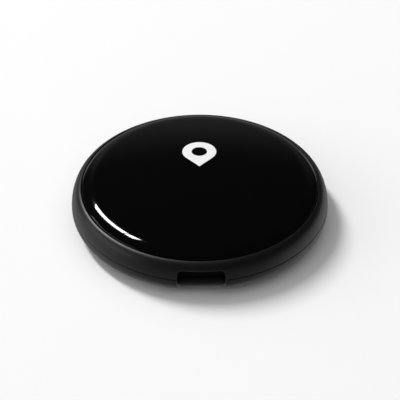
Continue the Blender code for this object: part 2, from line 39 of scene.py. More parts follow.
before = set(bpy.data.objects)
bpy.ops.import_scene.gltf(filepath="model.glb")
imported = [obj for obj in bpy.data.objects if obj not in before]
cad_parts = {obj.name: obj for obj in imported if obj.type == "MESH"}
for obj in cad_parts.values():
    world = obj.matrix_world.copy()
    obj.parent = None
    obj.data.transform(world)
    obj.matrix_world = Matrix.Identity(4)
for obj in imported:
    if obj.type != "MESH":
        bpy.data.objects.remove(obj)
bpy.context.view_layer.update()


def reach(node):
    """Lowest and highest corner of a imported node, in millimetres."""
    low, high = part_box(node)
    return low / MM, high / MM


# Case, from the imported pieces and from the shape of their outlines
RADIUS = reach("lower_housing")[1].x
THICKNESS = reach("top_cap")[1].z
WIDEST_Z = 2.6
CHAMBER_TOP = reach("lower_housing")[1].z
PARTING_LOW = CHAMBER_TOP - 1.4
PARTING_HIGH = PARTING_LOW + 0.07
SEAM_Z = 5.8
SHOULDER_RADIUS = 17.4
SHOULDER_POWER = 2.1
SHOULDER_START, SHOULDER_END = 0.23, 1.45  # radians of its quarter, between parting and seam
FOOT_RADIUS = 14.2
BELLY_POWER = 2.2
BELLY_WALL = 1.0
FLOOR = 1.1
LAP_INNER = 17.0
LAP_OUTER = 17.55
LAP_LOW = 2.5
EDGE_ROUND = 0.07

# Cap
CAP_RADIUS = reach("top_cap")[1].x
CAP_BORE = CAP_RADIUS + 0.15
CAP_WALL = 0.8
CAP_UNDER_RADII = (15.6, 14.5, 12.5, 10.5)  # where the underside follows the dome
DOME_RADIUS = 114.0
EDGE_START = 15.3
EDGE_RADIUS = 4.0
LIP_ROUND = 0.15
SKIRT_Z = 4.95
SKIRT_INNER = CAP_RADIUS - 0.9
SEAT_RADIUS = 7.6
CLIP_ANGLES = (90, 210, 330)
CLIP_LOW = reach("top_cap")[0].z
CLIP_TOP = 5.3
CLIP_HALF = 5.2  # degrees
CLIP_LEG = (16.45, 16.95)  # inner and outer radius
CLIP_BARB = (15.95, 16.6)
PAD_ANGLES = (30, 150, 270)
PAD_ROOM = (16.2, 17.8)
PAD_ROOM_LOW, PAD_ROOM_TOP = 4.5, 5.3
PAD_ROOM_HALF = 5.5  # degrees

# Ledge inside the bezel ring
LEDGE_LOW = 3.85
LEDGE_TOP = 4.45
SHELF_TOP = 4.75
SHELF_INNER = 15.3
SHELF_OUTER = 16.25
CLIP_SLOT_LOW = 3.5
SCREW_ANGLES = (60, 180, 300)
SCREW_CIRCLE = 13.6
BOSS_LOW = 2.6
BOSS_RADIUS = 1.2
SCREW_HOLE_LOW = 2.9
SCREW_HOLE_RADIUS = 0.7
WEB = (14.4, 16.0)  # inner and outer radius
WEB_LOW, WEB_TOP = 3.1, 4.6
WEB_HALF = 3.2  # degrees

# Strap notch and bar
NOTCH_HALF = 3.4
NOTCH_TOP = 4.65
NOTCH_CORNER = 0.8
NOTCH_BACK_Y = -15.2
NOTCH_LIP_Y = -17.75
NOTCH_LIP_Z = 4.42
NOTCH_BEND_Y = -17.2
NOTCH_CEILING = 4.15
NOTCH_WALL_HALF = 4.8
NOTCH_WALL_Y = -LAP_INNER - 0.3
LAP_ROOM_HALF = 16.7  # degrees
MOUTH_ROUND = 0.2
BELOW = -0.5  # cuts through the base start here
BAR_LOW, BAR_HIGH = reach("strap_bar")
BAR_HALF = BAR_HIGH.x
BAR_Y = (BAR_LOW.y + BAR_HIGH.y) / 2
BAR_Z = (BAR_LOW.z + BAR_HIGH.z) / 2
BAR_RADIUS = (BAR_HIGH.z - BAR_LOW.z) / 2

# Battery door and its thread
DOOR_RADIUS = 11.3
DOOR_LOW = reach("battery_door")[0].z
DOOR_TOP = reach("battery_door")[1].z
DOOR_FACE_Z = DOOR_LOW + 0.06  # the face inside the door's rim
DOOR_FACE_RADIUS = 8.9
DOOR_BORE = DOOR_RADIUS + 0.15
DOOR_SEAT_Z = 1.65
CLIMB = 1.5 / (pi / 2)  # of the three-start thread, in millimetres a radian
LUG_ANGLES = (90, 210, 330)
LUG_RADIUS = 12.25
LUG_MID_Z = 0.65
LUG_HALF = 0.2
LUG_SPAN = (-14, 14)  # degrees
GROOVE_HALF = 0.28
GROOVE_SPAN = (-74, 15.5)  # degrees
CHAMBER_RADIUS = 10.25
CHAMBER_WALL = 0.8
COLLAR_RADIUS = 13.0
COLLAR_TOP = 2.2
CONTACT_SLOT = ((10.0, -1.3, 2.3), (11.3, 1.3, 5))  # opposite corners
COIN_SLOT_LENGTH = 6.5  # from the middle to either end
COIN_SLOT_HALF = 0.7
COIN_SLOT_TOP = DOOR_LOW + 0.5

# Printed mark: a map pin, its tip towards the notch
MARK_Y = 4.9
MARK_HEAD_RADIUS = 2.55
MARK_HOLE_RADIUS = 1.15
MARK_LENGTH = 6.4
INK_LOW = 0.004
INK_HIGH = 0.03

# Studio: the key light is a tall window of two panes, placed by shares of the way between its ends
WINDOW_LOW = Vector((-0.514, 0.567, 0.643))
WINDOW_HIGH = Vector((-0.34, 0.176, 0.924))
WINDOW_PANES = {"window_long": (-0.08, 0.63), "window_short": (0.665, 0.83)}
DARK_LEVEL = 0.021  # of the walls; the levels below are strengths of the surroundings
GLOW_LEVEL = 0.125
GROUND_LEVEL = 0.62
GROUND_BEHIND_LOSS = 0.92  # shares of the ground's level that are missing there
# in front, the missing share is a painted shadow of the tag on the ground
GROUND_FRONT_SHADOW = 0.62
BACKDROP_LEVEL = 0.9  # as the camera sees it past the floor
FLOOR_HALF = 3.0  # metres
FLOOR_GREY = 0.9

# Steps round a turn, and the angle from which an edge is shaded as one
CASE_STEPS = 240
BOSS_STEPS = 24
SMALL_STEPS = 48
SHARP = radians(32)


# ---- shared helpers -------------------------------------------------------------------------


def solid(name, points, faces):
    """A closed mesh object from points in millimetres, its faces turned outward."""
    mesh = bpy.data.meshes.new(name)
    mesh.from_pydata([(x * MM, y * MM, z * MM) for x, y, z in points], [], faces)
    work = bmesh.new()
    work.from_mesh(mesh)
    bmesh.ops.recalc_face_normals(work, faces=work.faces)
    work.to_mesh(mesh)
    work.free()
    piece = bpy.data.objects.new(name, mesh)
    bpy.context.scene.collection.objects.link(piece)
    return piece


def on_circle(radius, degrees, z=0.0):
    return (radius * cos(radians(degrees)), radius * sin(radians(degrees)), z)


def lathe(name, outline, steps=CASE_STEPS):
    """Turns a closed (radius, z) outline about the Z axis."""
    points, rings = [], []
    for radius, z in outline:
        if radius < 1e-6:
            rings.append([len(points)] * steps)
            points.append((0.0, 0.0, z))
        else:
            rings.append(list(range(len(points), len(points) + steps)))
            points += [on_circle(radius, 360 * i / steps, z) for i in range(steps)]
    faces = []
    for lower, upper in zip(rings, rings[1:] + rings[:1]):
        for i in range(steps):
            j = (i + 1) % steps
            corners = list(dict.fromkeys((lower[i], lower[j], upper[j], upper[i])))
            if len(corners) > 2:
                faces.append(corners)
    return solid(name, points, faces)


def loft(name, sections):
    """A solid through equal rings of points, closed by its first and last ring."""
    count = len(sections[0])
    points = [point for section in sections for point in section]
    faces = [list(range(count)), list(range(len(points) - count, len(points)))]
    for k in range(len(sections) - 1):
        for i in range(count):
            j = (i + 1) % count
            low, high = k * count, (k + 1) * count
            faces.append([low + i, low + j, high + j, high + i])
    return solid(name, points, faces)


def sector(name, inner, outer, low, high, middle, span, climb=0.0):
    """A block bent round the Z axis over a span of degrees about its middle.

    With a climb, in millimetres a radian, its ends rise like a thread.
    """
    steps = max(3, round((span[1] - span[0]) / 2))
    sections = []
    for i in range(steps + 1):
        turn = span[0] + (span[1] - span[0]) * i / steps
        rise = climb * radians(turn)
        edges = ((inner, low), (outer, low), (outer, high), (inner, high))
        sections.append([on_circle(r, middle + turn, z + rise) for r, z in edges])
    return loft(name, sections)


def block(name, low, high):
    x0, y0, z0 = low
    x1, y1, z1 = high
    return loft(name, [[(x0, y0, z), (x1, y0, z), (x1, y1, z), (x0, y1, z)] for z in (z0, z1)])


def rounded(outline, steps=4):
    """A closed outline in which each corner given as (u, v, radius) becomes an arc."""
    points = []
    for i, corner in enumerate(outline):
        here = Vector(corner[:2])
        if len(corner) == 2:
            points.append(tuple(here))
            continue
        before = Vector(outline[i - 1][:2]) - here
        after = Vector(outline[(i + 1) % len(outline)][:2]) - here
        half = before.angle(after) / 2
        bisector = (before.normalized() + after.normalized()).normalized()
        centre = here + bisector * corner[2] / sin(half)
        start = here + before.normalized() * corner[2] / tan(half) - centre
        sweep = pi - 2 * half
        if before.x * after.y - before.y * after.x > 0:
            sweep = -sweep
        for k in range(steps + 1):
            turn = sweep * k / steps
            points.append((centre.x + start.x * cos(turn) - start.y * sin(turn),
                           centre.y + start.x * sin(turn) + start.y * cos(turn)))
    return points


def combine(piece, tool, operation):
    change = piece.modifiers.new(operation.lower(), "BOOLEAN")
    change.operation = operation
    change.solver = "EXACT"
    change.object = tool


def cut(piece, tool):
    combine(piece, tool, "DIFFERENCE")


def join(piece, tool):
    combine(piece, tool, "UNION")


def settle(piece):
    """Applies the cuts and joins, drops their tools and shades the result up to its real edges."""
    shape = piece.evaluated_get(bpy.context.evaluated_depsgraph_get())
    mesh = bpy.data.meshes.new_from_object(shape)
    tools = [change.object for change in piece.modifiers]
    piece.modifiers.clear()
    piece.data = mesh
    for tool in tools:
        bpy.data.objects.remove(tool, do_unlink=True)
    mesh.shade_smooth()
    mesh.set_sharp_from_angle(angle=SHARP)
    return piece


# ---- outlines of the case -------------------------------------------------------------------


def skin_radius(z):
    """Outer radius of the case at a height."""
    if z >= WIDEST_Z:
        inner, power = SHOULDER_RADIUS, SHOULDER_POWER
        share = (z - WIDEST_Z) / (SEAM_Z - WIDEST_Z)
    else:
        inner, power = FOOT_RADIUS, BELLY_POWER
        share = (WIDEST_Z - z) / WIDEST_Z
    return inner + (RADIUS - inner) * (1 - min(share, 1.0) ** power) ** (1 / power)


def power_arc(inner, outer, level, height, power, steps, start=0.0, end=pi / 2):
    """Points of a superellipse quarter: (outer, level) at 0, (inner, level + height) at 90."""
    points = []
    for i in range(steps + 1):
        t = start + (end - start) * i / steps
        across = max(cos(t), 0.0) ** (2 / power)
        up = max(sin(t), 0.0) ** (2 / power)
        points.append((inner + (outer - inner) * across, level + height * up))
    return points


def dome_z(radius):
    """Height of the cap's outer surface: part of a sphere, then a rounded edge that meets it."""
    flat = min(radius, EDGE_START)
    height = THICKNESS - DOME_RADIUS + sqrt(DOME_RADIUS**2 - flat**2)
    if radius > EDGE_START:
        start = EDGE_START / DOME_RADIUS * EDGE_RADIUS
        across = radius - EDGE_START + start
        height += sqrt(EDGE_RADIUS**2 - across**2) - sqrt(EDGE_RADIUS**2 - start**2)
    return height


def cap_edge():
    """The cap's rounded edge, from the dome to the lip that turns down into the skirt."""
    lean = asin(EDGE_START / DOME_RADIUS)
    centre_r = EDGE_START - EDGE_RADIUS * sin(lean)
    centre_z = dome_z(EDGE_START) - EDGE_RADIUS * cos(lean)
    meet = asin((CAP_RADIUS - LIP_ROUND - centre_r) / (EDGE_RADIUS - LIP_ROUND))
    points = []
    for i in range(15):
        t = lean + (meet - lean) * i / 14
        points.append((centre_r + EDGE_RADIUS * sin(t), centre_z + EDGE_RADIUS * cos(t)))
    lip_z = centre_z + (EDGE_RADIUS - LIP_ROUND) * cos(meet)
    for i in range(1, 6):
        t = meet + (pi / 2 - meet) * i / 5
        points.append((CAP_RADIUS - LIP_ROUND + LIP_ROUND * sin(t), lip_z + LIP_ROUND * cos(t)))
    return points


# ---- case -----------------------------------------------------------------------------------


def make_cap():
    dome = [(EDGE_START * i / 16, dome_z(EDGE_START * i / 16)) for i in range(16)]
    under_radii = (SKIRT_INNER, *CAP_UNDER_RADII, SEAT_RADIUS)
    under = [(r, dome_z(r) - CAP_WALL) for r in under_radii]
    seat_z = THICKNESS - CAP_WALL
    skirt = [(CAP_RADIUS, SKIRT_Z, 0.1), (SKIRT_INNER, SKIRT_Z, 0.1)]
    outline = rounded(dome + cap_edge() + skirt + under + [(SEAT_RADIUS, seat_z), (0, seat_z)])
    cap = lathe("cap_shell", outline)
    for angle in CLIP_ANGLES:
        half = CLIP_HALF
        leg = sector(f"clip_leg_{angle}", *CLIP_LEG, CLIP_LOW, CLIP_TOP, angle, (-half, half))
        half -= 0.1
        barb = (f"clip_barb_{angle}", *CLIP_BARB, CLIP_LOW + 0.02, LEDGE_LOW - 0.1, angle)
        join(leg, sector(*barb, (-half, half)))
        join(cap, settle(leg))
    for angle in PAD_ANGLES:
        room = (f"pad_room_{angle}", *PAD_ROOM, PAD_ROOM_LOW, PAD_ROOM_TOP, angle)
        cut(cap, sector(*room, (-PAD_ROOM_HALF, PAD_ROOM_HALF)))
    return settle(cap)


def make_bezel():
    quarter = (SHOULDER_RADIUS, RADIUS, WIDEST_Z, SEAM_Z - WIDEST_Z, SHOULDER_POWER)
    outline = rounded(
        power_arc(*quarter, 30, SHOULDER_START, SHOULDER_END)
        + [
            (CAP_BORE, SEAM_Z - 0.02, EDGE_ROUND / 2),
            (CAP_BORE, LEDGE_TOP),
            (SHELF_OUTER, LEDGE_TOP),
            (SHELF_OUTER, SHELF_TOP),
            (SHELF_INNER, SHELF_TOP),
            (SHELF_INNER, LEDGE_LOW),
            (LAP_INNER, LEDGE_LOW),
            (LAP_INNER, LAP_LOW),
            (LAP_OUTER, LAP_LOW),
            (LAP_OUTER, PARTING_HIGH),
            (skin_radius(PARTING_HIGH), PARTING_HIGH, EDGE_ROUND),
        ]
    )
    ring = lathe("bezel_shell", outline)
    for angle in SCREW_ANGLES:
        join(ring, screw_boss(angle))
        web = (f"boss_web_{angle}", *WEB, WEB_LOW, WEB_TOP, angle)
        join(ring, sector(*web, (-WEB_HALF, WEB_HALF)))
    hood_low = (-NOTCH_WALL_HALF, NOTCH_WALL_Y, PARTING_HIGH + 0.1)
    hood_high = (NOTCH_WALL_HALF, NOTCH_BACK_Y + 0.8, LEDGE_TOP - 0.05)
    join(ring, block("notch_hood", hood_low, hood_high))
    cut(ring, notch_mouth(NOTCH_LIP_Y))
    cut(ring, pocket())
    lap_room = ("lap_room", LAP_INNER - 0.3, LAP_OUTER + 0.05, 1, PARTING_HIGH + 0.05, 270)
    cut(ring, sector(*lap_room, (-LAP_ROOM_HALF, LAP_ROOM_HALF)))
    for angle in CLIP_ANGLES:
        radii = (SHELF_OUTER - 0.05, LAP_INNER + 0.05)
        slot = (f"clip_slot_{angle}", *radii, CLIP_SLOT_LOW, SHELF_TOP + 0.5, angle)
        cut(ring, sector(*slot, (-CLIP_HALF - 1.3, CLIP_HALF + 1.3)))
    return settle(ring)


def pocket():
    """The strap's room behind the notch: a level ceiling that rises to the lip over the mouth."""
    side, front = NOTCH_HALF - 0.03, -RADIUS + 0.6
    profile = [
        (front, BELOW),
        (NOTCH_BACK_Y, BELOW),
        (NOTCH_BACK_Y, NOTCH_CEILING),
        (NOTCH_BEND_Y, NOTCH_CEILING),
        (NOTCH_LIP_Y - 0.03, NOTCH_LIP_Z),
        (front, NOTCH_LIP_Z),
    ]
    return loft("notch_pocket", [[(x, y, z) for y, z in profile] for x in (-side, side)])


def screw_boss(angle):
    """A post with a blind screw hole, standing inside the ring."""
    top = SHELF_TOP - 0.03
    outline = [
        (0, BOSS_LOW),
        (BOSS_RADIUS, BOSS_LOW),
        (BOSS_RADIUS, top),
        (SCREW_HOLE_RADIUS, top),
        (SCREW_HOLE_RADIUS, SCREW_HOLE_LOW),
        (0, SCREW_HOLE_LOW),
    ]
    boss = lathe(f"boss_{angle}", outline, BOSS_STEPS)
    x, y, _ = on_circle(SCREW_CIRCLE, angle)
    boss.location = (x * MM, y * MM, 0)
    boss.rotation_euler = (0, 0, pi / BOSS_STEPS)
    return boss


def notch_edge(out):
    """The notch's outline in (x, z), a distance out from its walls, from foot to foot."""
    side, top, bend = NOTCH_HALF + out, NOTCH_TOP + out, NOTCH_CORNER + out
    wall = [(side, BELOW + (top - bend - BELOW) * i / 24) for i in range(24)]
    corner = [radians(90 * i / 8) for i in range(9)]
    bent = [(side - bend + bend * cos(a), top - bend + bend * sin(a)) for a in corner]
    flat = [((side - bend) * (1 - i / 6), top) for i in range(1, 6)]
    right = wall + bent + flat
    return right + [(0.0, top)] + [(-x, z) for x, z in right[::-1]]


def notch_mouth(back_y):
    """The room of the notch, flared where it meets the case's skin so that its edge is round."""
    lowest = 1.0  # the skin is followed down to here

    def skin_y(x, z):
        return -sqrt(skin_radius(max(z, lowest)) ** 2 - x * x)

    first = radians(12)  # the round starts here, just short of lying flat on the skin
    out, depth = MOUTH_ROUND * (1 - sin(first)), MOUTH_ROUND * (1 - cos(first))
    far = out + (depth + 0.1) / tan(first)
    sections = [[(x, -RADIUS - 1.5, z) for x, z in notch_edge(far)]]
    sections.append([(x, skin_y(x, z) - 0.1, z) for x, z in notch_edge(far)])
    for i in range(7):
        turn = first + (pi / 2 - first) * i / 6
        out, depth = MOUTH_ROUND * (1 - sin(turn)), MOUTH_ROUND * (1 - cos(turn))
        sections.append([(x, skin_y(x, z) + depth, z) for x, z in notch_edge(out)])
    sections.append([(x, back_y, z) for x, z in notch_edge(0.0)])
    return loft("notch_mouth", sections)


def make_base():
    inner, outer = FOOT_RADIUS + BELLY_WALL, LAP_OUTER + 0.1
    inside = power_arc(inner, outer, WIDEST_Z, FLOOR - WIDEST_Z, BELLY_POWER, 8)
    belly = power_arc(FOOT_RADIUS, RADIUS, WIDEST_Z, -WIDEST_Z, BELLY_POWER, 28)
    wall = CHAMBER_RADIUS + CHAMBER_WALL
    belt_z = 2.85  # between the parting and the widest line
    outline = rounded(
        [(skin_radius(PARTING_LOW), PARTING_LOW, EDGE_ROUND), (skin_radius(belt_z), belt_z)]
        + belly
        + [
            (DOOR_BORE, 0, 0.12),
            (DOOR_BORE, DOOR_SEAT_Z),
            (CHAMBER_RADIUS, DOOR_SEAT_Z),
            (CHAMBER_RADIUS, CHAMBER_TOP),
            (wall, CHAMBER_TOP),
            (wall, COLLAR_TOP),
            (COLLAR_RADIUS, COLLAR_TOP),
            (COLLAR_RADIUS, FLOOR),
        ]
        + inside[::-1]
        + [(outer, PARTING_LOW)]
    )
    base = lathe("base_shell", outline)
    walls_low = (-NOTCH_WALL_HALF, NOTCH_WALL_Y, FLOOR - 0.1)
    walls_high = (NOTCH_WALL_HALF, NOTCH_BACK_Y + 0.7, PARTING_LOW)
    join(base, block("notch_walls", walls_low, walls_high))
    cut(base, notch_mouth(NOTCH_BACK_Y))
    cut(base, rod("bar_hole", BAR_RADIUS - 0.02, BAR_HALF + 0.1))
    cut(base, block("contact_slot", *CONTACT_SLOT))
    for angle in LUG_ANGLES:
        radii = (DOOR_BORE - 0.3, LUG_RADIUS + 0.1)
        levels = (LUG_MID_Z - GROOVE_HALF, LUG_MID_Z + GROOVE_HALF)
        cut(base, sector(f"groove_{angle}", *radii, *levels, angle, GROOVE_SPAN, CLIMB))
    return settle(base)


def rod(name, radius, half_length):
    """A round rod along X, on the strap bar's line."""
    turns = [2 * pi * i / SMALL_STEPS for i in range(SMALL_STEPS)]
    ring = [(BAR_Y + radius * cos(a), BAR_Z + radius * sin(a)) for a in turns]
    return loft(name, [[(x, y, z) for y, z in ring] for x in (-half_length, half_length)])


def make_bar():
    """The strap bar: full between the walls with soft lower corners, thinner inside them."""
    shoulder, end, pin = 2.75, NOTCH_HALF - 0.12, BAR_RADIUS - 0.08
    deep_full, low_full, up_full = BAR_RADIUS + 0.1, BAR_RADIUS + 0.3, BAR_RADIUS
    stations = [(-BAR_HALF, 0.0), (-end - 0.01, 0.0)]
    for i in range(9):
        q = i / 8
        stations.append((-end + (end - shoulder) * (1 - cos(q * pi / 2)), sin(q * pi / 2)))
    stations += [(-x, full) for x, full in stations[::-1]]
    sections = []
    for x, full in stations:
        ring = []
        for i in range(SMALL_STEPS):
            a = 2 * pi * i / SMALL_STEPS
            deep = pin + (deep_full - pin) * full
            low = pin * 0.6 + (low_full - pin * 0.6) * full
            up = pin + (up_full - pin) * full
            ring.append((x, BAR_Y + deep * cos(a), BAR_Z + (up if sin(a) > 0 else low) * sin(a)))
        sections.append(ring)
    return settle(loft("strap_crossbar", sections))


def make_mark():
    """White ink on the dome, in the shape of a map pin with a round hole."""
    tip_y = MARK_HEAD_RADIUS - MARK_LENGTH
    tangent = asin(MARK_HEAD_RADIUS / -tip_y)
    outer = []
    for i in range(73):
        a = tangent - (pi + 2 * tangent) * i / 72
        outer.append((MARK_HEAD_RADIUS * cos(a), -MARK_HEAD_RADIUS * sin(a)))
    start, end = outer[0], outer[-1]
    for i in range(1, 12):
        outer.append((end[0] * (1 - i / 12), end[1] + (tip_y - end[1]) * i / 12))
    outer.append((0.0, tip_y))
    for i in range(1, 12):
        outer.append((start[0] * i / 12, tip_y + (start[1] - tip_y) * i / 12))
    middle_y = MARK_Y + MARK_LENGTH / 2 - MARK_HEAD_RADIUS
    loops = []
    for share, lift in ((0.0, INK_LOW), (0.015, INK_HIGH), (0.35, INK_HIGH), (0.7, INK_HIGH),
                        (0.985, INK_HIGH), (1.0, INK_LOW), (0.5, INK_LOW)):
        loop = []
        for x, y in outer:
            across = sqrt(x * x + y * y)
            px = x + (x / across * MARK_HOLE_RADIUS - x) * share
            py = y + (y / across * MARK_HOLE_RADIUS - y) * share + middle_y
            loop.append((px, py, dome_z(sqrt(px * px + py * py)) + lift))
        loops.append(loop)
    count = len(outer)
    faces = []
    for k in range(len(loops)):
        low, high = k * count, (k + 1) % len(loops) * count
        for i in range(count):
            j = (i + 1) % count
            faces.append([low + i, low + j, high + j, high + i])
    return settle(solid("mark_print", [point for loop in loops for point in loop], faces))


def make_door():
    outline = rounded(
        [
            (0, DOOR_FACE_Z),
            (DOOR_FACE_RADIUS, DOOR_FACE_Z),
            (DOOR_FACE_RADIUS + 0.15, DOOR_LOW, 0.05),
            (DOOR_RADIUS, DOOR_LOW, 0.18),
            (DOOR_RADIUS, DOOR_TOP, 0.05),
            (0, DOOR_TOP),
        ]
    )
    door = lathe("door_disc", outline)
    for angle in LUG_ANGLES:
        levels = (LUG_MID_Z - LUG_HALF, LUG_MID_Z + LUG_HALF)
        lug = (f"lug_{angle}", DOOR_RADIUS - 0.4, LUG_RADIUS, *levels, angle)
        join(door, sector(*lug, LUG_SPAN, CLIMB))
    cut(door, coin_slot())
    return settle(door)


def coin_slot():
    """A slot with round ends, its edge eased where it meets the door's outer face."""

    def stadium(out, z):
        half = COIN_SLOT_HALF + out
        turns = [radians(-90 + 180 * i / 16) for i in range(17)]
        right = [(COIN_SLOT_LENGTH - COIN_SLOT_HALF + half * cos(a), half * sin(a)) for a in turns]
        return [(x, y, z) for x, y in right + [(-x, -y) for x, y in right]]

    sections = [stadium(0.22, -1.0), stadium(0.22, DOOR_FACE_Z - 0.03)]
    sections += [stadium(0.07, DOOR_FACE_Z + 0.02), stadium(0.0, DOOR_FACE_Z + 0.1)]
    sections += [stadium(0.0, COIN_SLOT_TOP - 0.08), stadium(-0.08, COIN_SLOT_TOP)]
    return loft("coin_slot", sections)


# ---- finishes -------------------------------------------------------------------------------


def principled(name, colour, roughness, metallic=0.0, **sockets):
    material = bpy.data.materials.new(name)
    material.use_nodes = True
    shader = material.node_tree.nodes["Principled BSDF"]
    shader.inputs["Base Color"].default_value = (*colour, 1.0)
    shader.inputs["Roughness"].default_value = roughness
    shader.inputs["Metallic"].default_value = metallic
    for socket, value in sockets.items():
        shader.inputs[socket.replace("_", " ")].default_value = value
    return material


def noise(material, size, detail=2.0, stretch=None):
    """A noise pattern with features of about a size in millimetres. Returns its factor output."""
    nodes, links = material.node_tree.nodes, material.node_tree.links
    place = nodes.new("ShaderNodeTexCoord")
    pattern = nodes.new("ShaderNodeTexNoise")
    pattern.inputs["Scale"].default_value = 1 / (size * MM)
    pattern.inputs["Detail"].default_value = detail
    source = place.outputs["Object"]
    if stretch:
        mapping = nodes.new("ShaderNodeMapping")
        mapping.inputs["Scale"].default_value = stretch
        links.new(source, mapping.inputs["Vector"])
        source = mapping.outputs["Vector"]
    links.new(source, pattern.inputs["Vector"])
    return pattern.outputs["Fac"]


def spread(material, factor, low, high, start=0.3, end=0.7):
    """Maps a pattern's middle range onto low..high."""
    ramp = material.node_tree.nodes.new("ShaderNodeMapRange")
    ramp.inputs["From Min"].default_value = start
    ramp.inputs["From Max"].default_value = end
    ramp.inputs["To Min"].default_value = low
    ramp.inputs["To Max"].default_value = high
    material.node_tree.links.new(factor, ramp.inputs["Value"])
    return ramp.outputs["Result"]


def vary_roughness(material, factor, low, high, start=0.3, end=0.7):
    shader = material.node_tree.nodes["Principled BSDF"]
    source = spread(material, factor, low, high, start, end)
    material.node_tree.links.new(source, shader.inputs["Roughness"])


def vary_colour(material, factor, first, second):
    nodes, links = material.node_tree.nodes, material.node_tree.links
    ramp = nodes.new("ShaderNodeValToRGB")
    for element, colour, place in zip(ramp.color_ramp.elements, (first, second), (0.35, 0.65)):
        element.color = (*colour, 1.0)
        element.position = place
    links.new(factor, ramp.inputs["Fac"])
    links.new(ramp.outputs["Color"], nodes["Principled BSDF"].inputs["Base Color"])


def emboss(material, factor, height, strength=1.0):
    """Bumps the surface by a pattern, with its height in millimetres."""
    nodes, links = material.node_tree.nodes, material.node_tree.links
    bump = nodes.new("ShaderNodeBump")
    bump.inputs["Distance"].default_value = height * MM
    bump.inputs["Strength"].default_value = strength
    links.new(factor, bump.inputs["Height"])
    links.new(bump.outputs["Normal"], nodes["Principled BSDF"].inputs["Normal"])


def gloss_black():
    """Polished piano-black plastic with faint wiping marks."""
    material = principled("gloss_black", (0.0011, 0.0011, 0.0013), 0.05, IOR=1.5)
    vary_roughness(material, noise(material, 6.0, 5.0, (1.0, 0.25, 1.0)), 0.035, 0.075)
    emboss(material, noise(material, 2.2, 1.0), 0.0004)
    return material


def satin_black(name, grain, low, high, **sockets):
    """Moulded satin plastic: a fine spark-eroded grain, a little uneven in shine."""
    material = principled(name, (0.0055, 0.0053, 0.0062), (low + high) / 2, IOR=1.48, **sockets)
    darker, paler = (0.005, 0.0048, 0.0056), (0.006, 0.0058, 0.0068)
    vary_colour(material, noise(material, 1.8, 3.0), darker, paler)
    vary_roughness(material, noise(material, 0.7, 4.0), low, high)
    emboss(material, noise(material, grain, 2.0), grain * 0.012)
    return material


def printed_ink():
    """Pad-printed white ink, a little thinner in places."""
    material = principled("white_ink", (0.86, 0.86, 0.86), 0.45)
    vary_colour(material, noise(material, 0.35, 3.0), (0.82, 0.82, 0.83), (0.90, 0.90, 0.90))
    emboss(material, noise(material, 0.15, 2.0), 0.002)
    return material


def worn_metal(name, colour, size, low, high, stretch=None):
    """Plated or stamped metal with fine grain and uneven shine."""
    material = principled(name, colour, (low + high) / 2, 1.0)
    darker = tuple(c * 0.86 for c in colour)
    vary_colour(material, noise(material, size * 4, 3.0), darker, colour)
    vary_roughness(material, noise(material, size, 4.0, stretch), low, high)
    emboss(material, noise(material, size, 2.0, stretch), 0.002)
    return material


def dull_solid(name, colour, size, roughness, height, **sockets):
    """A matte solid such as rubber, ceramic, epoxy or nylon, with a mottled grain."""
    material = principled(name, colour, roughness, **sockets)
    darker = tuple(c * 0.8 for c in colour)
    vary_colour(material, noise(material, size * 3, 3.0), darker, colour)
    vary_roughness(material, noise(material, size, 2.0), roughness - 0.06, roughness + 0.06)
    emboss(material, noise(material, size, 2.0), height)
    return material


def board_laminate():
    """Green solder mask over tracks: the tracks show as paler straight runs."""
    material = principled("board_laminate", (0.02, 0.12, 0.06), 0.35)
    nodes, links = material.node_tree.nodes, material.node_tree.links
    place = nodes.new("ShaderNodeTexCoord")
    tracks = nodes.new("ShaderNodeTexBrick")
    tracks.inputs["Scale"].default_value = 1 / (3.2 * MM)
    tracks.inputs["Mortar Size"].default_value = 0.06
    tracks.inputs["Color1"].default_value = (0.015, 0.10, 0.05, 1)
    tracks.inputs["Color2"].default_value = (0.02, 0.12, 0.06, 1)
    tracks.inputs["Mortar"].default_value = (0.05, 0.22, 0.11, 1)
    links.new(place.outputs["Object"], tracks.inputs["Vector"])
    links.new(tracks.outputs["Color"], nodes["Principled BSDF"].inputs["Base Color"])
    emboss(material, tracks.outputs["Fac"], 0.02)
    return material


